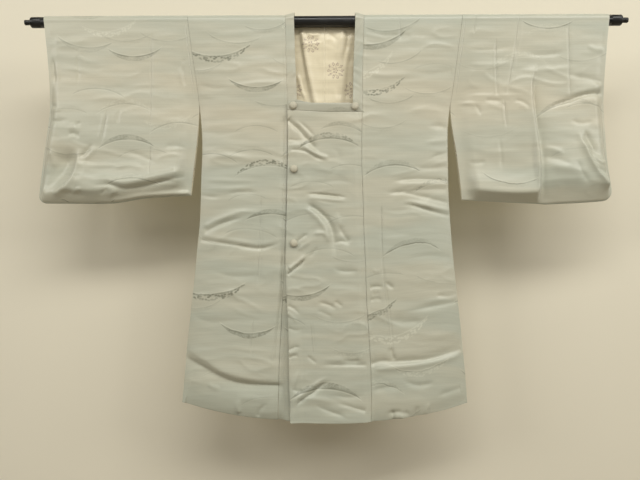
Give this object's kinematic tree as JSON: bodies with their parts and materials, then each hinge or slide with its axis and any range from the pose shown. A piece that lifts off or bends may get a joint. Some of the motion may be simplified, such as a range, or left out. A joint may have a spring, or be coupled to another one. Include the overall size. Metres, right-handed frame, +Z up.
{
  "type": "kimono overcoat on a pole",
  "caption": "Square-necked kimono overcoat with broad open-ended sleeves and covered front buttons, hung flat over a round pole.",
  "frame": {"origin": "on the pole's axis, midway along it, where a rack or two hooks hold the pole", "axes": "+X along the pole towards the wearer's left, +Y towards the coat's back, -Y its front, +Z up"},
  "size_m": [1.4306, 0.0505, 0.9692],
  "materials": {
    "cloth": "satin",
    "lining": "satin",
    "button": "satin",
    "pole": "semi-gloss"
  },
  "bodies": {
    "root": {"left_body": "cloth", "right_body": "cloth", "left_sleeve": "cloth", "right_sleeve": "cloth", "upper_overlap_panel": "cloth", "lower_overlap_panel": "cloth", "neck_collar": "cloth", "upper_overlap_band": "cloth", "lower_overlap_band": "cloth", "left_back_lining": "lining", "right_back_lining": "lining", "corner_button_right": "button", "corner_button_left": "button", "upper_front_button": "button", "lower_front_button": "button", "pole": "pole", "left_peg": "pole", "right_peg": "pole"}
  },
  "joints": []
}
